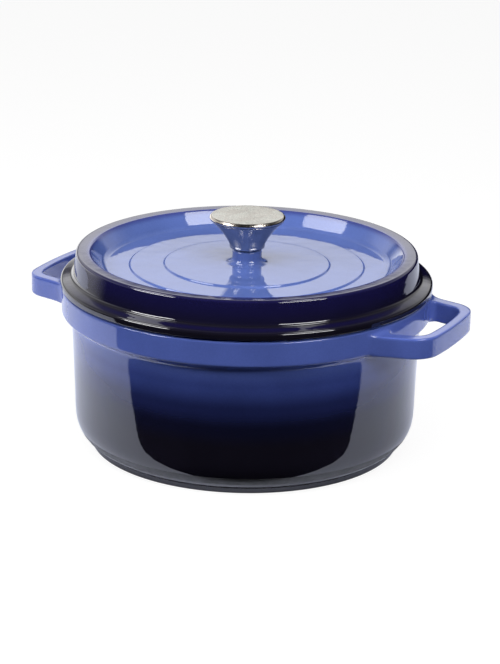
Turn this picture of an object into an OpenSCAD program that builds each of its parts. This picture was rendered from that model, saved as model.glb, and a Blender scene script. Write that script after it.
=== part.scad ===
// Round lidded casserole in enamelled cast iron, with two cast loop handles
// and a flared steel knob screwed to the lid.
// The origin is on the table under the pot's centre, +X points through the
// right handle and +Z points up. Every size is in millimetres.

/* [Pot] */
// Outer radius of the thick band round the rim
band_r = 131; // [110:1:160]
// Height of the band's outer face
band_h = 17; // [14:0.5:24]
// Height from the table to the bare land that carries the lid
pot_h = 116.5; // [90:0.5:150]
// How far the band stands out from the wall below it
band_proud = 7; // [4:0.5:8]
// Height of the band's sloped underside
band_cove_h = 5; // [3:0.5:9]
// How much the wall draws in between the band and the base curve
wall_taper = 2.5; // [0:0.5:6]
// Thickness of the cast wall
wall_t = 3.8; // [3:0.1:6]
// Thickness of the cast floor
floor_t = 4.4; // [3:0.1:7]
// Radius of the curve from the wall into the base, on the outside
base_curve_r = 20; // [14:1:28]
// How far the foot ring is set in from the foot of the wall
foot_inset = 11; // [6:0.5:13]
// Height of the foot ring
foot_h = 3.6; // [2.5:0.1:6]
// Width of the foot ring's flat face
foot_w = 9; // [5:0.5:14]
// How far the base inside the foot ring is raised off the table
foot_recess = 1.2; // [0.5:0.1:2]

/* [Rim] */
// Thickness of the rim at the mouth
rim_t = 6.5; // [5.5:0.1:8]
// Depth of the wide mouth above the cooking wall
mouth_depth = 12; // [9:0.5:14]
// How far the bare land stands above the band's top edge
land_h = 1.5; // [1:0.1:3]
// How far the bare land is set in from the band's outer face
land_inset = 2.2; // [1:0.1:2.5]

/* [Handles] */
// How far each handle reaches out from the band
handle_reach = 29.5; // [24:0.5:36]
// Height of the handle's section
handle_h = 14.4; // [11:0.1:15]
// How far the handle's underside hangs below the foot of the band
handle_drop = 1.8; // [0:0.1:4]
// Width over the two arms where they leave the band
handle_root_w = 103; // [88:1:115]
// Width over the two arms at the grip bar
handle_end_w = 86; // [74:1:100]
// Thickness of each arm, seen from above
arm_t = 9.6; // [7:0.1:12]
// Thickness of the grip bar, seen from above
bar_t = 7; // [5:0.1:9]
// Radius of the handle's outer corners
handle_corner_r = 20; // [12:0.5:24]
// How far the grip bar bows outwards at its middle
bar_bow = 2.5; // [1:0.1:5]
// Radius where the outside of each arm flares into the band
root_flare_r = 12; // [6:0.5:16]
// Radius where the inside of each arm flares into the band
root_inner_r = 5; // [3:0.5:8]

/* [Lid] */
// How far the lid's flange stands out past the band
lid_overhang = 0.8; // [0:0.1:2]
// Thickness of the flange at its edge
flange_h = 4.8; // [4:0.1:7]
// How far the flange's top falls from the ring to the edge
flange_fall = 2.2; // [0.5:0.1:3]
// How far the raised ring is set in from the flange's edge
ring_inset = 9; // [7:0.1:12]
// Height of the raised ring above the flange
ring_h = 17; // [12:0.1:24]
// How much the ring's outer wall leans in from its foot to its crest
ring_draft = 2.2; // [0.5:0.1:4]
// Width of the ring over its crest
crest_w = 10; // [6:0.1:12]
// How far the crest falls from its outer to its inner edge
crest_fall = 0.4; // [0.2:0.1:1]
// How far the dish's sloped wall runs in from the crest
dish_slope_w = 9.1; // [7:0.1:16]
// Depth of the dish below the crest
dish_depth = 11.2; // [8:0.1:14]
// Distance from the foot of the dish wall in to the outer step
outer_step_inset = 18.1; // [15:0.1:26]
// Distance from the outer step in to the inner step
inner_step_inset = 24.3; // [10:0.1:34]
// Height of each step
step_h = 1; // [0.5:0.1:1.5]
// Thickness of the lid casting
lid_t = 4; // [3:0.1:6]
// Narrowest hollow left under the crest
channel_w = 2.4; // [2:0.1:4]
// Radial gap between the lid's locating lip and the mouth
lid_clearance = 0.8; // [0.5:0.1:2]
// How far the locating lip reaches into the mouth
lip_depth = 5.5; // [3:0.1:8]
// Width of the locating lip
lip_w = 4.2; // [3:0.1:6]
// Radius of the boss under the knob
boss_r = 10.4; // [9:0.1:13]
// Height of the boss above the dish floor
boss_h = 10.2; // [7:0.1:14]
// Radius of the curve from the boss into the lid
boss_flare_r = 5; // [3:0.1:7]

/* [Drip nubs] */
// Distance from the foot of the dish wall in to the outer row of nubs
outer_row_inset = 13.5; // [8:0.1:14]
// Distance from the inner step in to the inner row of nubs
inner_row_inset = 15; // [6:0.1:24]
// Number of nubs in the outer row
outer_nubs = 16; // [6:1:24]
// Number of nubs in the inner row
inner_nubs = 8; // [4:1:12]
// Radius of a nub where it meets the lid
nub_r = 3.2; // [2:0.1:4]
// How far a nub hangs down
nub_drop = 2.6; // [1.5:0.1:4]

/* [Knob] */
// Radius of the knob's cap
knob_r = 27; // [22:0.5:32]
// Height of the knob from its seat to the top of its cap
knob_h = 24; // [20:0.5:32]
// Radius of the knob's foot
knob_foot_r = 12.6; // [12:0.1:15]
// Height of the straight foot under the flare
knob_foot_h = 3; // [2:0.1:5]
// Thickness of the cap at its rim
cap_t = 3.6; // [2.5:0.1:5]
// How far the cap's rim stands out past the shell
cap_lip = 0.9; // [0.5:0.1:1.5]
// How far the cap's top rises from its rim to its middle
cap_dome = 0.2; // [0.1:0.1:1]
// Thickness of the knob's steel shell
shell_t = 1.4; // [1:0.1:1.8]
// How far the cap's spigot sits down in the shell
spigot_h = 2; // [1:0.1:3]
// Gap round the cap's spigot
spigot_gap = 0.1; // [0.05:0.05:0.3]
// Radius of the threaded insert on the shell's floor
insert_r = 7.5; // [6:0.1:9]
// Thickness of the heat-proof gasket between knob and boss
gasket_t = 0.8; // [0.5:0.1:1.5]
// How far the gasket is set in from the boss's edge
gasket_inset = 0.6; // [0.3:0.1:1.5]

/* [Screw] */
// Diameter of the screw that holds the knob
screw_d = 6; // [5:0.5:8]
// How far the screw threads into the knob's insert
thread_grip = 10; // [8:0.5:12]
// How far the insert stands past the screw's tip
insert_extra = 1; // [0.5:0.5:2]
// Diameter gap between the screw and the holes it passes through
hole_gap = 0.6; // [0.4:0.1:1]
// Diameter gap that stands in for the thread in the insert
thread_gap = 0.1; // [0.05:0.05:0.2]
// Thickness of each washer
washer_t = 1.6; // [1:0.1:2]
// Diameter of the flat washer
flat_washer_d = 18; // [14:0.5:20]
// Diameter of the spring lock washer
lock_washer_d = 11.8; // [10:0.1:14]
// Width of the cut in the lock washer
lock_cut = 1.2; // [0.8:0.1:2]
// Diameter of the screw's pan head
head_d = 12; // [10:0.1:14]
// Height of the screw's pan head
head_h = 4; // [3:0.1:5]
// Length of each arm of the cross recess in the head
recess_l = 6; // [4:0.1:7]
// Width of each arm of the cross recess
recess_w = 1.4; // [1:0.1:2]
// Depth of the cross recess
recess_depth = 2.2; // [1.5:0.1:2.8]

/* [Hidden] */

$fn = 96;
band_fn = 192;          // sides of the cylinder that trims the handles to the band
nub_fn = 32;            // sides of a drip nub
arc_steps = 6;          // straight steps in each rounded corner of an outline
curve_steps = 10;       // straight steps in the base curve and the knob's flare
cut_extra = 1;          // how far a cutting shape runs past the face it cuts
fine_r = 0.6;           // rounding of machined edges
edge_r = 0.8;           // rounding of sharp cast edges
cast_r = 1.5;           // rounding of cast corners
bead_r = 2.2;           // rounding of the crest's and the flange's edges
cove_r = 3;             // rounding of the coves
dish_cove_r = 6;        // rounding at the foot of the dish wall
bow_r = 150;            // softens the middle of the bowed grip bar
flare_sink = 0.5;       // how far a root flare runs in under the band's face
nub_sink = 1;           // how far a nub is sunk into the lid
nub_blunt = 0.4;        // a nub's tip radius as a share of its root radius
flare_straight = 0.62;  // share of the knob's flare that is a straight cone
flare_power = 2.2;      // how sharply the rest of the flare opens

deep_blue = [0.06, 0.07, 0.30];
light_blue = [0.36, 0.45, 0.78];
steel = [0.78, 0.76, 0.72];
bright_steel = [0.68, 0.69, 0.71];
black_rubber = [0.05, 0.05, 0.06];

// Pot
band_top_z = pot_h - land_h;
band_foot_z = band_top_z - band_h;
wall_top_r = band_r - band_proud;
wall_foot_r = wall_top_r - wall_taper;
foot_r = wall_foot_r - foot_inset;
base_centre_r = wall_foot_r - base_curve_r;
base_curve_a = acos((foot_r - base_centre_r) / base_curve_r);
base_curve_z = foot_h + base_curve_r * sin(base_curve_a);
mouth_r = band_r - rim_t;
land_r = band_r - land_inset;
ledge_z = pot_h - mouth_depth;
floor_z = foot_recess + floor_t;
inner_curve_r = base_curve_r - wall_t;
inner_top_r = wall_top_r - wall_t;
inner_foot_r = wall_foot_r - wall_t;

// Handles
handle_foot_z = band_foot_z - handle_drop;
handle_mid_x = band_r + handle_reach;
handle_end_x = handle_mid_x - bar_bow;
root_x = sqrt(pow(band_r, 2) - pow(handle_root_w / 2, 2));
arm_a = atan2((handle_end_w - handle_root_w) / 2, handle_end_x - root_x);

// Lid
flange_r = band_r + lid_overhang;
flange_edge_z = pot_h + flange_h;
ring_foot_z = flange_edge_z + flange_fall;
ring_r = flange_r - ring_inset;
ring_top_r = ring_r - ring_draft;
crest_z = ring_foot_z + ring_h;
crest_inner_r = ring_top_r - crest_w;
dish_z = crest_z - dish_depth;
dish_r = crest_inner_r - dish_slope_w;
dish_wall_a = atan2(dish_depth - crest_fall, dish_slope_w);
outer_step_r = dish_r - outer_step_inset;
inner_step_r = outer_step_r - inner_step_inset;
floor_top_z = dish_z + 2 * step_h;
boss_top_z = floor_top_z + boss_h;
under_z = dish_z - lid_t;
floor_under_z = under_z + 2 * step_h;
under_shift = lid_t / sin(dish_wall_a);
channel_r = ring_top_r - lid_t;
full_channel_z = dish_z + (channel_r - channel_w - dish_r - under_shift) * tan(dish_wall_a);
channel_z = min(crest_z - lid_t, full_channel_z);
lip_r = mouth_r - lid_clearance;
lip_inner_r = lip_r - lip_w;
lip_z = pot_h - lip_depth;
hole_d = screw_d + hole_gap;
outer_row_r = dish_r - outer_row_inset;
inner_row_r = inner_step_r - inner_row_inset;

// Knob and screw
knob_z = boss_top_z + gasket_t;
knob_top_z = knob_z + knob_h;
cap_z = knob_top_z - cap_t;
shell_top_r = knob_r - cap_lip;
flare_z = knob_z + knob_foot_h;
insert_z = knob_z + shell_t;
insert_h = thread_grip + insert_extra;
screw_seat_z = floor_under_z - 2 * washer_t;
screw_tip_z = insert_z + thread_grip;

function unit(v) = v / norm(v);
function turn_between(a, b) = let (d = b - a) d > 180 ? d - 360 : d < -180 ? d + 360 : d;

// Points round a centre, the shorter way from one angle to the other
function arc(centre, r, from, to) =
    let (turn = turn_between(from, to))
    [for (i = [0 : arc_steps]) let (a = from + turn * i / arc_steps) centre + r * [cos(a), sin(a)]];

// The points of one corner of an outline, rounded to radius r
function corner(before, at, after, r) =
    r == 0 ? [at] :
    let (
        u = unit(before - at),
        v = unit(after - at),
        half = acos(u * v) / 2,
        centre = at + unit(u + v) * r / sin(half),
        first = at + u * r / tan(half) - centre,
        last = at + v * r / tan(half) - centre
    )
    arc(centre, r, atan2(first[1], first[0]), atan2(last[1], last[0]));

// A closed outline from [x, y, corner radius] points
function rounded(p) =
    let (n = len(p), xy = [for (q = p) [q[0], q[1]]])
    [for (i = [0 : n - 1]) each corner(xy[(i + n - 1) % n], xy[i], xy[(i + 1) % n], p[i][2])];

// The same points as sharp corners of an outline
function sharp(p) = [for (q = p) [q[0], q[1], 0]];

// An outline's upper half, followed by its mirror image below the X axis
function mirrored(p) =
    concat(p, [for (i = [len(p) - 1 : -1 : 0]) let (q = p[i]) if (q[1] != 0) [q[0], -q[1], q[2]]]);

// A solid of revolution about the pot's axis
module turned(p) {
    rotate_extrude() polygon(rounded(p));
}

// The pot casting: floor, foot ring, wall, rim band and bare land
module pot_body() {
    base_curve = [
        for (i = [0 : curve_steps]) let (a = base_curve_a * (1 - i / curve_steps))
        [base_centre_r + base_curve_r * cos(a), base_curve_z - base_curve_r * sin(a)]
    ];
    color(deep_blue)
        turned(concat(
            [
                [0, foot_recess, 0],
                [foot_r - foot_w - cast_r, foot_recess, edge_r],
                [foot_r - foot_w, 0, fine_r],
                [foot_r, 0, edge_r]
            ],
            sharp(base_curve),
            [
                [wall_top_r, band_foot_z - band_cove_h, cove_r],
                [band_r, band_foot_z, edge_r],
                [band_r, band_top_z, edge_r],
                [land_r, band_top_z, 0],
                [land_r, pot_h, fine_r],
                [mouth_r, pot_h, edge_r],
                [mouth_r, ledge_z, cast_r],
                [inner_top_r, ledge_z - (mouth_r - inner_top_r), cove_r],
                [inner_foot_r, floor_z, inner_curve_r],
                [0, floor_z, 0]
            ]
        ));
}

// The curve in the corner between the band and an arm's edge. The edge is a
// line through p at the arm's angle, and side is 1 above it or -1 below it.
function root_flare(p, side, r) =
    let (
        along = [cos(arm_a), sin(arm_a)],
        across = side * [-sin(arm_a), cos(arm_a)],
        h = p * across + r,
        reach = band_r - flare_sink + r,
        c = across * h + along * sqrt(reach * reach - h * h)
    )
    arc(c, r, atan2(-c[1], -c[0]), atan2(-across[1], -across[0]));

// One loop handle on the +X side, with its finger gap cut through
module handle() {
    root = [root_x, handle_root_w / 2];
    inner_root = root - [0, arm_t / cos(arm_a)];
    inner_end_x = handle_end_x - bar_t;
    inner_end_y = inner_root[1] + (inner_end_x - root_x) * tan(arm_a);
    difference() {
        translate([0, 0, handle_foot_z])
            linear_extrude(handle_h)
                difference() {
                    polygon(rounded(mirrored(concat(
                        sharp(root_flare(root, 1, root_flare_r)),
                        [
                            [handle_end_x, handle_end_w / 2, handle_corner_r],
                            [handle_mid_x, 0, bow_r]
                        ]
                    ))));
                    polygon(rounded(mirrored(concat(
                        sharp(root_flare(inner_root, -1, root_inner_r)),
                        [
                            [inner_end_x, inner_end_y, handle_corner_r - bar_t],
                            [handle_mid_x - bar_t, 0, bow_r]
                        ]
                    ))));
                }
        cylinder(r = band_r, h = pot_h, $fn = band_fn);
    }
}

module right_handle() {
    color(light_blue) handle();
}

module left_handle() {
    color(light_blue) rotate([0, 0, 180]) handle();
}

// The lid casting: flange, locating lip, raised ring, stepped dish and boss
module lid() {
    boss = [
        [0, boss_top_z, 0],
        [boss_r, boss_top_z, cast_r],
        [boss_r, floor_top_z, boss_flare_r]
    ];
    top = [
        [inner_step_r - step_h, floor_top_z, edge_r],
        [inner_step_r, dish_z + step_h, edge_r],
        [outer_step_r - step_h, dish_z + step_h, edge_r],
        [outer_step_r, dish_z, edge_r],
        [dish_r, dish_z, dish_cove_r],
        [crest_inner_r, crest_z - crest_fall, bead_r],
        [ring_top_r, crest_z, bead_r],
        [ring_r, ring_foot_z, cove_r],
        [flange_r, flange_edge_z, bead_r]
    ];
    under = [
        [flange_r, pot_h, edge_r],
        [lip_r, pot_h, fine_r],
        [lip_r, lip_z, cast_r],
        [lip_inner_r, lip_z, cast_r],
        [channel_r, channel_z, edge_r],
        [dish_r + under_shift + (channel_z - dish_z) / tan(dish_wall_a), channel_z, edge_r],
        [dish_r + under_shift - lid_t / tan(dish_wall_a), under_z, bead_r],
        [outer_step_r, under_z, fine_r],
        [outer_step_r - step_h, under_z + step_h, fine_r],
        [inner_step_r, under_z + step_h, fine_r],
        [inner_step_r - step_h, floor_under_z, fine_r],
        [0, floor_under_z, 0]
    ];
    color(deep_blue) {
        difference() {
            turned(concat(boss, top, under));
            translate([0, 0, floor_under_z - cut_extra])
                cylinder(d = hole_d, h = boss_top_z - floor_under_z + 2 * cut_extra);
        }
        nub_row(outer_row_r, outer_nubs, under_z);
        nub_row(inner_row_r, inner_nubs, floor_under_z);
    }
}

// Blunt cones under the lid that drip condensed steam back on the food
module nub_row(row_r, count, seat_z) {
    for (i = [0 : count - 1])
        rotate([0, 0, 360 * (i + 0.5) / count])
            translate([row_r, 0, seat_z - nub_drop])
                cylinder(r1 = nub_r * nub_blunt, r2 = nub_r, h = nub_drop + nub_sink, $fn = nub_fn);
}

// Radius of the knob's flared side at height z
function flare_r(z) =
    let (
        t = (z - flare_z) / (cap_z - flare_z),
        open = flare_straight * t + (1 - flare_straight) * pow(t, flare_power)
    )
    knob_foot_r + (shell_top_r - knob_foot_r) * open;

// The flared hollow shell of the knob, closed by a floor with the screw hole
module knob_shell() {
    rise = (cap_z - flare_z) / curve_steps;
    side = [for (i = [0 : curve_steps]) let (z = flare_z + rise * i) [flare_r(z), z]];
    inside = [for (i = [curve_steps : -1 : 0]) side[i] - [shell_t, 0]];
    color(steel)
        difference() {
            turned(concat(
                [[0, knob_z, 0], [knob_foot_r, knob_z, cast_r]],
                sharp(side), sharp(inside),
                [[knob_foot_r - shell_t, insert_z, 0], [0, insert_z, 0]]
            ));
            translate([0, 0, knob_z - cut_extra]) cylinder(d = hole_d, h = shell_t + 2 * cut_extra);
        }
}

// The turned disc that closes the knob, with a spigot inside the shell
module knob_cap() {
    spigot_r = flare_r(cap_z - spigot_h) - shell_t - spigot_gap;
    color(steel)
        turned([
            [0, cap_z - spigot_h, 0],
            [spigot_r, cap_z - spigot_h, fine_r],
            [spigot_r, cap_z, 0],
            [shell_top_r, cap_z, 0],
            [knob_r, cap_z + cap_lip, edge_r],
            [knob_r, knob_top_z - cap_dome, edge_r],
            [0, knob_top_z, 0]
        ]);
}

// The threaded insert welded to the floor of the shell
module knob_insert() {
    color(bright_steel) ring(insert_z, 2 * insert_r, screw_d + thread_gap, insert_h);
}

// A flat ring with a centre hole, standing on height z
module ring(z, outer_d, inner_d, h) {
    translate([0, 0, z])
        difference() {
            cylinder(d = outer_d, h = h);
            translate([0, 0, -cut_extra]) cylinder(d = inner_d, h = h + 2 * cut_extra);
        }
}

module knob_gasket() {
    color(black_rubber) ring(boss_top_z, 2 * (boss_r - gasket_inset), hole_d, gasket_t);
}

module flat_washer() {
    color(bright_steel) ring(screw_seat_z + washer_t, flat_washer_d, hole_d, washer_t);
}

// A spring washer, cut through on one side
module lock_washer() {
    color(bright_steel)
        difference() {
            ring(screw_seat_z, lock_washer_d, hole_d, washer_t);
            translate([0, -lock_cut / 2, screw_seat_z - cut_extra])
                cube([lock_washer_d, lock_cut, washer_t + 2 * cut_extra]);
        }
}

// The pan-head screw that comes up through the lid into the knob
module knob_screw() {
    head_z = screw_seat_z - head_h;
    color(bright_steel)
        difference() {
            turned([
                [0, head_z, 0],
                [head_d / 2, head_z, cast_r],
                [head_d / 2, screw_seat_z, 0],
                [screw_d / 2, screw_seat_z, 0],
                [screw_d / 2, screw_tip_z, fine_r],
                [0, screw_tip_z, 0]
            ]);
            for (a = [0, 90])
                rotate([0, 0, a])
                    translate([-recess_l / 2, -recess_w / 2, head_z - cut_extra])
                        cube([recess_l, recess_w, recess_depth + cut_extra]);
        }
}

pot_body();
left_handle();
right_handle();
lid();
knob_shell();
knob_cap();
knob_insert();
knob_gasket();
knob_screw();
flat_washer();
lock_washer();
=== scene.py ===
import math

import bmesh
import bpy
from mathutils import Matrix, Quaternion, Vector


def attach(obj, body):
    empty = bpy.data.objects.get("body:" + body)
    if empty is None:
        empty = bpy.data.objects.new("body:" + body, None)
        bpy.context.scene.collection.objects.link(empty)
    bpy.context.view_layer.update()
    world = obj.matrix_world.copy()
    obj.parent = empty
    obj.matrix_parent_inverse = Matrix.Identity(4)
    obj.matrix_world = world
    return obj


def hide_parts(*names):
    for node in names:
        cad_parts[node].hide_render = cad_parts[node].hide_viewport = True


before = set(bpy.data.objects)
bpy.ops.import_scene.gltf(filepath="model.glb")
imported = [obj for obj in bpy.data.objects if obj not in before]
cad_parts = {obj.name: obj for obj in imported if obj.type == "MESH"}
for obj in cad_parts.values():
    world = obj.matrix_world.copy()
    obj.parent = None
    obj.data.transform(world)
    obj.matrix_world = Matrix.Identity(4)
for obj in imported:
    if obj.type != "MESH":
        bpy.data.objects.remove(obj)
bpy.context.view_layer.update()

MM = 0.001
BORE_R = 3.3                            # radius of the screw's hole in lid and knob


# ---------------------------------------------------------------- camera

CAMERA_AT = (0.6944, -1.3982, 0.5955)
LOOK_AT = (0.0027, 0.0013, 0.0793)
ROLL = 0.935                            # degrees
LENS = 165.6                            # focal length for a sensor 36 mm wide


def set_camera():
    """A long lens a little above the rim, with the right handle turned towards it."""
    data = bpy.data.cameras.new("studio_camera")
    data.sensor_fit = "HORIZONTAL"
    data.sensor_width = 36
    data.lens = LENS
    data.clip_end = 200
    camera = bpy.data.objects.new("studio_camera", data)
    camera.location = CAMERA_AT
    look = (Vector(LOOK_AT) - camera.location).to_track_quat("-Z", "Y")
    roll = Quaternion((0, 0, 1), math.radians(ROLL))
    camera.rotation_euler = (look @ roll).to_euler()
    bpy.context.scene.collection.objects.link(camera)
    bpy.context.scene.camera = camera


# ---------------------------------------------------------------- shaping

def outline(bm, points, segments=4):
    """A chain of edges in the XZ plane from (radius, height, rounding) points, in millimetres."""
    verts = [bm.verts.new((r * MM, 0, z * MM)) for r, z, _ in points]
    for a, b in zip(verts, verts[1:]):
        bm.edges.new((a, b))
    for i in range(1, len(points) - 1):
        at = Vector(points[i][:2])
        before, after = Vector(points[i - 1][:2]) - at, Vector(points[i + 1][:2]) - at
        rounding = points[i][2]
        if rounding:
            reach = rounding / math.tan(before.angle(after) / 2)
            bmesh.ops.bevel(bm, geom=[verts[i]], offset=reach * MM, offset_type="OFFSET",
                            segments=segments, profile=0.5, affect="VERTICES", material=-1)


def split_long(bm, longest):
    """Cuts each edge of a chain into pieces no longer than this, in millimetres."""
    for edge in bm.edges[:]:
        cuts = math.ceil(edge.calc_length() / (longest * MM)) - 1
        if cuts > 0:
            bmesh.ops.subdivide_edges(bm, edges=[edge], cuts=cuts)


def close_bore(bm):
    """Joins the two ends of a chain that starts and stops at the screw's hole."""
    ends = sorted((v for v in bm.verts if abs(v.co.x - BORE_R * MM) < 1e-6), key=lambda v: v.co.z)
    bm.edges.new((ends[0], ends[-1]))


def turn_round(bm, steps, angle=2 * math.pi):
    """Sweeps the chain round the pot's axis."""
    bmesh.ops.spin(bm, geom=bm.verts[:] + bm.edges[:], cent=(0, 0, 0), axis=(0, 0, 1), dvec=(0, 0, 0),
                   angle=angle, steps=steps, use_merge=angle > 6, use_duplicate=False)
    close_up(bm)


def close_up(bm):
    """Welds seams and poles, and points every face outwards."""
    bmesh.ops.remove_doubles(bm, verts=bm.verts[:], dist=0.00002)
    bmesh.ops.recalc_face_normals(bm, faces=bm.faces[:])


def piece(name, bm, body, materials, pick=None, replaces=()):
    """Makes the finished shape an object that rides on a body of the frame."""
    mesh = bpy.data.meshes.new(name)
    for face in bm.faces:
        face.smooth = True
        if pick:
            face.material_index = pick(face)
    bm.to_mesh(mesh)
    bm.free()
    obj = bpy.data.objects.new(name, mesh)
    bpy.context.scene.collection.objects.link(obj)
    for material in materials:
        mesh.materials.append(material)
    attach(obj, body)
    if replaces:
        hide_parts(*replaces)
    return obj


def reach_of(face):
    """Radius of a face's centre from the pot's axis, and its height, in millimetres."""
    c = face.calc_center_median()
    return math.hypot(c.x, c.y) / MM, c.z / MM


# ---------------------------------------------------------------- pot casting

# Points of an outline are (radius, height, rounding of that corner), in millimetres. This one runs from
# the middle of the base out over the foot, up the wall and the band, and back down to the floor.
POT_SIDE = [
    (0, 1.2, 0), (50, 1.2, 0), (98, 1.2, 0.8), (101.5, 0, 0.6), (110.5, 0, 0.8), (110.5, 3.6, 0.3),
    (121.5, 9.14, 19.5), (122.1, 40, 0), (122.8, 60, 0), (123.4, 78, 0), (124, 93, 2.5),
    (127.5, 95.5, 0), (131, 98, 1.5), (131, 100.5, 0), (131, 105, 0), (131, 109.5, 0),
    (131, 112.3, 0), (131, 115, 1.2), (128.8, 115, 0.3), (128.8, 116.5, 0.5), (124.5, 116.5, 0.8),
    (124.5, 104.5, 1.5), (120.2, 100.2, 2.5), (119.5, 76, 0), (118.7, 48, 0), (117.7, 5.6, 16.2),
    (60, 5.6, 0), (0, 5.6, 0),
]
COLUMNS = 40                            # mesh columns in a quarter of the pot
COLUMN_DEG = 90 / COLUMNS
ARM_FROM, ARM_TO = 7 * COLUMN_DEG, 11 * COLUMN_DEG   # where half a handle grows from the band
BAND_FACE_R, BAND_LOW, BAND_HIGH = 126.5, 95.5, 112.3
ARM_ROWS = [96.2, 97.8, 99.4, 100.6, 101.3, 102.5, 105, 109, 110.6]
ARM_COLUMNS = [-1, -0.6, 0, 0.6, 1]


def loop_path():
    """Outer and inner plan points of half a handle, from its root on the band to the middle of the grip."""
    path = [((122.8, 52.4), (127.6, 38.8)), ((126.2, 50.6), (129.3, 40.2)),
            ((131.5, 49.0), (133.2, 38.7)), ((139, 47.3), (138.6, 37.5))]
    for step in range(7):
        a = math.radians(77.2 - 12.32 * step)
        path.append(((138.9 + 20 * math.cos(a), 26.8 + 20 * math.sin(a)),
                     (138.6 + 13 * math.cos(a), 24.2 + 13 * math.sin(a))))
    path += [((159.9, 14), (152.8, 13)), ((160.2, 0), (153.2, 0))]
    return path


def grow_handle(bm):
    """Pulls half a loop handle out of the band, station by station."""
    across = bm.verts.layers.float.new("across")
    height = bm.verts.layers.float.new("height")
    faces = []
    for face in bm.faces:
        r, z = reach_of(face)
        c = face.calc_center_median()
        a = math.degrees(math.atan2(c.y, c.x))
        if r > BAND_FACE_R and BAND_LOW < z < BAND_HIGH and ARM_FROM < a < ARM_TO:
            faces.append(face)
    verts = {v for f in faces for v in f.verts}
    rows = sorted({round(v.co.z, 6) for v in verts})
    for v in verts:
        column = round((math.degrees(math.atan2(v.co.y, v.co.x)) - ARM_FROM) / COLUMN_DEG)
        v[across] = ARM_COLUMNS[column]
        v[height] = ARM_ROWS[rows.index(round(v.co.z, 6))]
    root_z = {v[height]: v.co.z for v in verts}
    for i, (outer, inner) in enumerate(loop_path()):
        grown = bmesh.ops.extrude_face_region(bm, geom=faces)["geom"]
        old = [f for f in faces if f.is_valid]
        if old:
            bmesh.ops.delete(bm, geom=old, context="FACES")
        faces = [g for g in grown if isinstance(g, bmesh.types.BMFace)]
        middle = (Vector(outer) + Vector(inner)) / 2 * MM
        half = (Vector(outer) - Vector(inner)) / 2 * MM
        for v in {v for f in faces for v in f.verts}:
            place = middle + half * v[across]
            z = v[height] * MM
            if i == 0:
                z = z * 0.75 + root_z[v[height]] * 0.25
            v.co = (place.x, place.y, z)
    bmesh.ops.delete(bm, geom=faces, context="FACES")


def pot_finish(face):
    """0 outside enamel, 1 inside enamel, 2 bare iron."""
    r, z = reach_of(face)
    if z > 115.4:
        return 2
    mouth = r < 124.6 and z > 100
    cooking_wall = r < 121.4 and z > 22
    floor = r < 119 and z > 5.4 + 0.15 * max(0, r - 106)
    if mouth or cooking_wall or floor:
        return 1
    if z < 0.3 and r > 101:
        return 2
    return 0


def make_pot(materials):
    bm = bmesh.new()
    outline(bm, POT_SIDE, segments=3)
    split_long(bm, 12)
    turn_round(bm, COLUMNS, math.pi / 2)
    grow_handle(bm)
    for axis in ("X", "Y"):
        geom = bm.verts[:] + bm.edges[:] + bm.faces[:]
        bmesh.ops.mirror(bm, geom=geom, matrix=Matrix.Identity(4), merge_dist=0.00001, axis=axis)
    close_up(bm)
    pot = piece("casserole_casting", bm, "pot", materials, pot_finish,
                ["pot_body", "left_handle", "right_handle"])
    smooth = pot.modifiers.new("casting_surface", "SUBSURF")
    smooth.levels = smooth.render_levels = 1
    return pot


# ---------------------------------------------------------------- lid casting

LID_SIDE = [
    (BORE_R, 141.5, 0), (10.4, 141.5, 2), (10.4, 131.3, 5), (58.1, 131.3, 0.8), (59.1, 130.3, 0.8),
    (82.4, 130.3, 0.8), (83.4, 129.3, 0.8), (101.5, 129.3, 6), (110.6, 140.1, 2.2), (120.6, 140.5, 2.2),
    (122.8, 123.5, 3), (131.8, 121.3, 2.2), (131.8, 116.5, 0.8), (123.7, 116.5, 0.6), (123.7, 111, 1.5),
    (119.5, 111, 1.5), (116.6, 136.5, 0.8), (112.8, 136.5, 0.8), (103.36, 125.3, 2.2), (83.4, 125.3, 0.6),
    (82.4, 126.3, 0.6), (59.1, 126.3, 0.6), (58.1, 127.3, 0.6), (BORE_R, 127.3, 0),
]


def lid_finish(face):
    """0 outside enamel, 1 underside enamel, 2 bare iron seat."""
    r, z = reach_of(face)
    if 124 < r < 131 and z < 116.7:
        return 2
    lip = r < 123.9 and z < 116.6
    under_floor = r < 103 and z < 128
    under_ring = 103 <= r < 120 and z < min(136.8, 125.3 + (r - 101.5) * 1.19)
    return int(lip or under_floor or under_ring)


def make_lid(materials):
    bm = bmesh.new()
    outline(bm, LID_SIDE, segments=16)
    close_bore(bm)
    split_long(bm, 3)
    turn_round(bm, 192)
    return piece("lid_casting", bm, "lid_assembly", materials, lid_finish, ["lid"])


def make_nubs(material):
    """The blunt cones under the lid, in two rings."""
    bm = bmesh.new()
    for radius, count, seat in ((88, 16, 125.3), (44.1, 8, 127.3)):
        for i in range(count):
            a = 2 * math.pi * (i + 0.5) / count
            place = Matrix.Rotation(a, 4, "Z") @ Matrix.Translation((radius * MM, 0, (seat - 0.8) * MM))
            made = bmesh.ops.create_cone(bm, cap_ends=True, segments=24, radius1=1.3 * MM, radius2=3.2 * MM,
                                         depth=3.6 * MM, matrix=place)
            tip = [e for e in {e for v in made["verts"] for e in v.link_edges}
                   if all(v.co.z < (seat - 2) * MM for v in e.verts)]
            bmesh.ops.bevel(bm, geom=tip, offset=0.6 * MM, offset_type="OFFSET", segments=3, profile=0.5,
                            affect="EDGES", material=-1)
    bmesh.ops.recalc_face_normals(bm, faces=bm.faces[:])
    return piece("drip_nubs", bm, "lid_assembly", [material])


# ---------------------------------------------------------------- knob

def flare(t):
    """A point of the knob's side, (radius, height), for t from 0 at its foot to 1 under the disc."""
    return 12.6 + 13.5 * (0.62 * t + 0.38 * t ** 2.2), 145.3 + 17.4 * t


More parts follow.
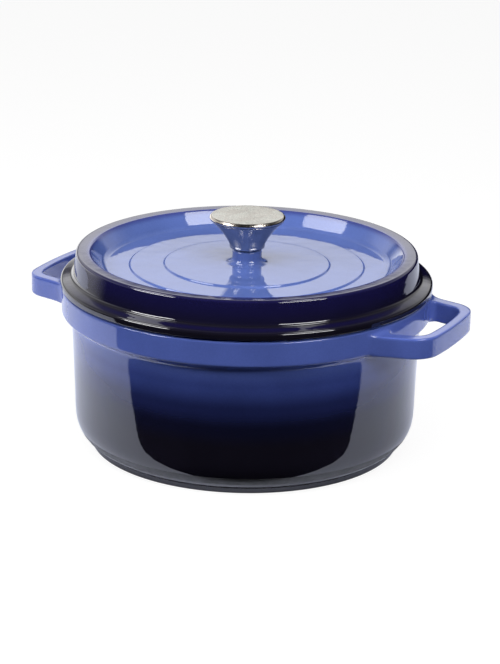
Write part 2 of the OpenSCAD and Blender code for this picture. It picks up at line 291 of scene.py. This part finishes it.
def disc_finish(face):
    """0 polished underneath, 1 rim, smoother than the top and darkened as painted shade, 2 satin top."""
    r, z = reach_of(face)
    if r < 25.2 and z > 165.6:
        return 2
    return int(face.normal.z > -0.5)


def make_knob(polished, painted_shade_rim, satin):
    bm = bmesh.new()
    side = [flare(i / 14) for i in range(15)]
    outline(bm, [(BORE_R, 142.3, 0), (12.6, 142.3, 1.6)] + [(r, z, 0) for r, z in side]
            + [(r - 1.4, z, 0) for r, z in reversed(side)] + [(11.2, 143.7, 0), (BORE_R, 143.7, 0)])
    close_bore(bm)
    split_long(bm, 2)
    turn_round(bm, 128)
    piece("knob_flare", bm, "lid_assembly", [polished], replaces=["knob_shell"])

    bm = bmesh.new()
    outline(bm, [(0, 160.7, 0), (23, 160.7, 0.6), (23, 162.7, 0), (26.1, 162.7, 0), (27, 164.2, 1.4),
                 (25.7, 166.1, 1.5), (0, 166.3, 0)])
    split_long(bm, 2)
    turn_round(bm, 128)
    piece("knob_disc", bm, "lid_assembly", [polished, painted_shade_rim, satin],
          disc_finish, ["knob_cap"])


# ---------------------------------------------------------------- finishes

def new_material(name):
    material = bpy.data.materials.new(name)
    material.use_nodes = True
    nodes, links = material.node_tree.nodes, material.node_tree.links
    return nodes, links, nodes["Principled BSDF"], material


def set_inputs(node, **values):
    for name, value in values.items():
        node.inputs[name.replace("_", " ")].default_value = value


def grain(nodes, links, scale, low, high, stretch=(1, 1, 1), place=None):
    """Soft noise, mapped to a low..high range; the scale counts lumps per metre."""
    if place is None:
        place = nodes.new("ShaderNodeTexCoord").outputs["Object"]
    stretched = nodes.new("ShaderNodeMapping")
    set_inputs(stretched, Scale=stretch)
    links.new(place, stretched.inputs["Vector"])
    noise = nodes.new("ShaderNodeTexNoise")
    set_inputs(noise, Scale=scale, Detail=3.0)
    links.new(stretched.outputs["Vector"], noise.inputs["Vector"])
    spread = nodes.new("ShaderNodeMapRange")
    set_inputs(spread, From_Min=0.3, From_Max=0.7, To_Min=low, To_Max=high)
    links.new(noise.outputs["Fac"], spread.inputs["Value"])
    return spread.outputs["Result"]


def ripple(nodes, links, shader, height, depth, coats=("Normal",)):
    """Raises the surface by a height pattern; the depth is in metres."""
    bump = nodes.new("ShaderNodeBump")
    set_inputs(bump, Strength=1.0, Distance=depth)
    links.new(height, bump.inputs["Height"])
    for coat in coats:
        links.new(bump.outputs["Normal"], shader.inputs[coat])


def shade(nodes, links, colour, factor):
    """Darkens or lightens a colour by a factor that changes over the surface."""
    scaled = nodes.new("ShaderNodeVectorMath")
    scaled.operation = "SCALE"
    links.new(colour, scaled.inputs[0])
    links.new(factor, scaled.inputs["Scale"])
    return scaled.outputs["Vector"]


def ramp(nodes, links, value, stops):
    """Colours along a distance: (millimetres, colour) pairs."""
    low, high = stops[0][0], stops[-1][0]
    along = nodes.new("ShaderNodeMapRange")
    set_inputs(along, From_Min=low * MM, From_Max=high * MM)
    links.new(value, along.inputs["Value"])
    colours = nodes.new("ShaderNodeValToRGB")
    colours.color_ramp.interpolation = "EASE"
    for i, (at, colour) in enumerate(stops):
        place = (at - low) / (high - low)
        stop = colours.color_ramp.elements.new(place) if 0 < i < len(stops) - 1 else None
        if stop is None:
            stop = colours.color_ramp.elements[0 if i == 0 else -1]
        stop.position = place
        stop.color = (*colour, 1)
    links.new(along.outputs["Result"], colours.inputs["Fac"])
    return colours.outputs["Color"]


def mottle(nodes, links, scale, dark, light):
    """Two tones of a colour, mixed in soft lumps."""
    return ramp(nodes, links, grain(nodes, links, scale, 0, MM), [(0, dark), (1, light)])


def height_above_table(nodes, links):
    split = nodes.new("ShaderNodeSeparateXYZ")
    links.new(nodes.new("ShaderNodeTexCoord").outputs["Object"], split.inputs[0])
    return split.outputs["Z"]


def distance_from_axis(nodes, links):
    flat = nodes.new("ShaderNodeVectorMath")
    flat.operation = "MULTIPLY"
    flat.inputs[1].default_value = (1, 1, 0)
    links.new(nodes.new("ShaderNodeTexCoord").outputs["Object"], flat.inputs[0])
    length = nodes.new("ShaderNodeVectorMath")
    length.operation = "LENGTH"
    links.new(flat.outputs["Vector"], length.inputs[0])
    return length.outputs["Value"]


def round_and_along(nodes, links):
    """Turns a place into (angle round the axis, distance from it, height), for turned metal."""
    split = nodes.new("ShaderNodeSeparateXYZ")
    links.new(nodes.new("ShaderNodeTexCoord").outputs["Object"], split.inputs[0])
    angle = nodes.new("ShaderNodeMath")
    angle.operation = "ARCTAN2"
    links.new(split.outputs["Y"], angle.inputs[0])
    links.new(split.outputs["X"], angle.inputs[1])
    joined = nodes.new("ShaderNodeCombineXYZ")
    links.new(angle.outputs["Value"], joined.inputs["X"])
    links.new(distance_from_axis(nodes, links), joined.inputs["Y"])
    links.new(split.outputs["Z"], joined.inputs["Z"])
    return joined.outputs["Vector"]


def gloss_enamel(name, measure, stops):
    """Fused glass on cast iron: a fade in colour, faint clouds, specks and an orange-peel surface."""
    nodes, links, glass, material = new_material(name)
    colour = ramp(nodes, links, measure(nodes, links), stops)
    colour = shade(nodes, links, colour, grain(nodes, links, 38, 0.93, 1.07))
    colour = shade(nodes, links, colour, grain(nodes, links, 900, 0.95, 1.05))
    links.new(colour, glass.inputs["Base Color"])
    links.new(grain(nodes, links, 120, 0.035, 0.075), glass.inputs["Roughness"])
    set_inputs(glass, IOR=1.52, Coat_Weight=0.35, Coat_Roughness=0.02, Coat_IOR=1.5)
    ripple(nodes, links, glass, grain(nodes, links, 95, 0, 1), 0.00003, ("Normal", "Coat Normal"))
    return material


def satin_enamel(name, colour, roughness):
    """The dull black enamel of a cooking surface, slightly pebbled."""
    nodes, links, glass, material = new_material(name)
    tone = mottle(nodes, links, 60, [c * 0.75 for c in colour], [c * 1.3 for c in colour])
    links.new(shade(nodes, links, tone, grain(nodes, links, 1400, 0.8, 1.35)), glass.inputs["Base Color"])
    links.new(grain(nodes, links, 200, roughness - 0.08, roughness + 0.08), glass.inputs["Roughness"])
    ripple(nodes, links, glass, grain(nodes, links, 700, 0, 1), 0.00006)
    return material


def raw_iron(name):
    """Ground cast iron, grey-brown with a coarse grain."""
    nodes, links, iron, material = new_material(name)
    tone = ramp(nodes, links, grain(nodes, links, 150, 0, MM),
                [(0, (0.018, 0.014, 0.012)), (0.6, (0.035, 0.031, 0.029)), (1, (0.06, 0.052, 0.046))])
    links.new(tone, iron.inputs["Base Color"])
    set_inputs(iron, Metallic=0.6)
    links.new(grain(nodes, links, 500, 0.42, 0.7), iron.inputs["Roughness"])
    ripple(nodes, links, iron, grain(nodes, links, 1200, 0, 1), 0.00008)
    return material


def turned_metal(name, colour, roughness, stretch, depth):
    """Metal with fine tool marks; the stretch sets how they run: (angle, radius, height)."""
    nodes, links, metal, material = new_material(name)
    marks = grain(nodes, links, 1, 0, 1, stretch, round_and_along(nodes, links))
    tone = mottle(nodes, links, 140, [c * 0.93 for c in colour], [min(c * 1.06, 1) for c in colour])
    links.new(tone, metal.inputs["Base Color"])
    set_inputs(metal, Metallic=1.0)
    worn = nodes.new("ShaderNodeMapRange")
    set_inputs(worn, To_Min=roughness * 0.8, To_Max=roughness * 1.25)
    links.new(marks, worn.inputs["Value"])
    links.new(worn.outputs["Result"], metal.inputs["Roughness"])
    ripple(nodes, links, metal, marks, depth)
    return material


def rubber_sheet(name):
    nodes, links, rubber, material = new_material(name)
    tone = mottle(nodes, links, 400, (0.012, 0.012, 0.013), (0.03, 0.03, 0.031))
    links.new(tone, rubber.inputs["Base Color"])
    links.new(grain(nodes, links, 900, 0.6, 0.8), rubber.inputs["Roughness"])
    ripple(nodes, links, rubber, grain(nodes, links, 2500, 0, 1), 0.00004)
    return material


def paper(name, colour, glow):
    nodes, links, sheet, material = new_material(name)
    tone = mottle(nodes, links, 3, [c * 0.99 for c in colour], colour)
    links.new(tone, sheet.inputs["Base Color"])
    set_inputs(sheet, Roughness=0.9, Emission_Color=(*colour, 1), Emission_Strength=glow)
    return material


# ---------------------------------------------------------------- studio

AHEAD = Vector((0.4443, -0.8959, 0))     # from the pot towards the camera, along the table
ASIDE = Vector((0.8959, 0.4443, 0))      # to the camera's right


def spot(ahead, aside, height):
    return AHEAD * ahead + ASIDE * aside + Vector((0, 0, height))


def softbox(name, turn, rise, distance, size, brightness):
    """A rectangular light that faces the lid; turn and rise are its bearing in degrees, 0 at the camera's."""
    turn, rise = math.radians(turn), math.radians(rise)
    lid_top = Vector((0, 0, 0.13))
    away = spot(math.cos(rise) * math.cos(turn), math.cos(rise) * math.sin(turn), math.sin(rise))
    data = bpy.data.lights.new(name, "AREA")
    data.shape = "RECTANGLE"
    data.size, data.size_y = size
    data.energy = brightness * math.pi * size[0] * size[1]
    lamp = bpy.data.objects.new(name, data)
    lamp.location = lid_top + away * distance
    lamp.rotation_euler = (-away).to_track_quat("-Z", "Y").to_euler()
    bpy.context.scene.collection.objects.link(lamp)
    return lamp


def sheet_on_table(name, corners, height, material):
    bm = bmesh.new()
    bm.faces.new([bm.verts.new(spot(f, s, height)) for f, s in corners])
    bmesh.ops.recalc_face_normals(bm, faces=bm.faces[:])
    mesh = bpy.data.meshes.new(name)
    bm.to_mesh(mesh)
    bm.free()
    obj = bpy.data.objects.new(name, mesh)
    bpy.context.scene.collection.objects.link(obj)
    mesh.materials.append(material)
    return obj


def fade(nodes, links, value, start, full, low=0.0, high=1.0):
    change = nodes.new("ShaderNodeMapRange")
    change.interpolation_type = "SMOOTHSTEP"
    set_inputs(change, From_Min=start, From_Max=full, To_Min=low, To_Max=high)
    links.new(value, change.inputs["Value"])
    return change.outputs["Result"]


def times(nodes, links, a, b):
    product = nodes.new("ShaderNodeMath")
    product.operation = "MULTIPLY"
    links.new(a, product.inputs[0])
    links.new(b, product.inputs[1])
    return product.outputs["Value"]


def bearing(nodes, links, toward, aim):
    near = nodes.new("ShaderNodeVectorMath")
    near.operation = "DOT_PRODUCT"
    near.inputs[1].default_value = aim.normalized()
    links.new(toward, near.inputs[0])
    return near.outputs["Value"]


WALL, WALL_TOP = 1.6, 0.35              # brightness of the wall, and of the ceiling above it


def white_room():
    """A white wall behind and beside the pot, a dark room in front; the camera itself sees plain white."""
    world = bpy.data.worlds.new("studio")
    world.use_nodes = True
    bpy.context.scene.world = world
    nodes, links = world.node_tree.nodes, world.node_tree.links
    toward = nodes.new("ShaderNodeTexCoord").outputs["Generated"]

    def facing(aim, start, full, low=0.0, high=1.0):
        """Fades with how nearly a direction points along the aim."""
        return fade(nodes, links, bearing(nodes, links, toward, aim), start, full, low, high)

    up = Vector((0, 0, 1))
    wall = times(nodes, links, facing(up, 0.2, 0.3), facing(up, 0.38, 0.6, 1.0, WALL_TOP / WALL))
    wall = times(nodes, links, wall, facing(spot(-1, -0.15, 0), -0.35, 0.7))
    wall = times(nodes, links, wall, facing(spot(0, 1, 0), -1.0, 1.0, WALL * 1.05, WALL * 0.66))
    wall = times(nodes, links, wall, facing(spot(-1, 0, 0), 0.86, 0.98, 0.55, 1.0))
    corner = times(nodes, links, facing(up, -0.3, -0.02), facing(up, 0.04, 0.25, 1.0, 0.0))
    corner = times(nodes, links, corner, facing(spot(-0.8, -0.6, 0), 0.75, 0.97, 0.0, 1.6))
    both = nodes.new("ShaderNodeMath")
    links.new(wall, both.inputs[0])
    links.new(corner, both.inputs[1])
    seen = nodes.new("ShaderNodeLightPath")
    strength = nodes.new("ShaderNodeMix")
    links.new(seen.outputs["Is Camera Ray"], strength.inputs["Factor"])
    links.new(both.outputs["Value"], strength.inputs["A"])
    strength.inputs["B"].default_value = 1.0
    back = nodes["Background"]
    back.inputs["Color"].default_value = (1, 1, 1, 1)
    links.new(strength.outputs["Result"], back.inputs["Strength"])


def set_studio():
    bpy.context.scene.view_settings.view_transform = "Standard"
    white_room()
    table = sheet_on_table("pale_table", [(-0.9, -0.65), (-0.9, 0.65), (0.119, 0.65), (0.119, -0.65)],
                           -0.0004, paper("white_card", (0.8, 0.84, 1.0), 0.12))
    table.visible_camera = table.visible_shadow = False
    floor = sheet_on_table("pale_floor", [(-60, -60), (-60, 60), (60, 60), (60, -60)], 0,
                           paper("pale_floor", (0.12, 0.12, 0.12), 7.5))
    floor.visible_glossy = floor.visible_diffuse = floor.visible_transmission = floor.visible_shadow = False
    softbox("left_overhead", -91, 53, 1.3, (0.5, 0.4), 6)
    softbox("right_overhead", 61, 61, 1.3, (0.36, 0.36), 7)
    softbox("left_strip", -64, 28, 1.3, (0.67, 0.2), 20)
    softbox("right_strip", 38, 28, 1.3, (0.67, 0.2), 18)
    fill = softbox("fill", 0, 64, 1.4, (1.0, 1.0), 4.4)
    fill.visible_glossy = False


set_camera()
set_studio()

POT_LIGHT, LID_LIGHT = (0.078, 0.118, 0.4), (0.085, 0.132, 0.37)
NAVY = (0.006, 0.005, 0.03)
NIGHT = (0.0068, 0.006, 0.0115)
pot_blue = gloss_enamel("blue_to_black_enamel", height_above_table, [
    (0, NIGHT), (36, NIGHT), (50, (0.0055, 0.006, 0.02)), (64, (0.012, 0.017, 0.075)),
    (80, (0.035, 0.055, 0.22)), (94, POT_LIGHT), (116, POT_LIGHT)])
lid_blue = gloss_enamel("lid_blue_enamel", distance_from_axis, [
    (0, LID_LIGHT), (107.5, LID_LIGHT), (111, (0.04, 0.052, 0.21)), (114, (0.014, 0.015, 0.085)),
    (120.8, (0.008, 0.007, 0.045)), (123.5, NIGHT), (127, NAVY), (132, NIGHT)])
black_enamel = satin_enamel("dull_black_enamel", (0.012, 0.012, 0.013), 0.4)
bare_iron = raw_iron("bare_iron")
satin_steel = turned_metal("satin_steel", (1.0, 0.95, 0.87), 0.3, (3, 2600, 1), 0.00002)
# Painted shade: the knob rim's steel is the satin top's colour darkened to about two thirds; its lower
# roughness and its tool marks are the finish's own.
rim_steel_painted_shade = turned_metal("rim_steel_painted_shade", (0.66, 0.6, 0.54), 0.2, (4, 1500, 1500), 0.00001)
bright_steel = turned_metal("bright_steel", (0.5, 0.49, 0.49), 0.17, (22, 12, 12), 0.00003)

make_pot([pot_blue, black_enamel, bare_iron])
make_lid([lid_blue, black_enamel, bare_iron])
make_nubs(black_enamel)
make_knob(bright_steel, rim_steel_painted_shade, satin_steel)

zinc = turned_metal("zinc_plate", (0.62, 0.62, 0.6), 0.28, (8, 900, 900), 0.00002)
rubber = rubber_sheet("black_silicone")
for node, material in (("knob_insert", zinc), ("knob_screw", zinc), ("flat_washer", zinc),
                       ("lock_washer", zinc), ("knob_gasket", rubber)):
    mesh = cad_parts[node].data
    mesh.materials.clear()
    mesh.materials.append(material)
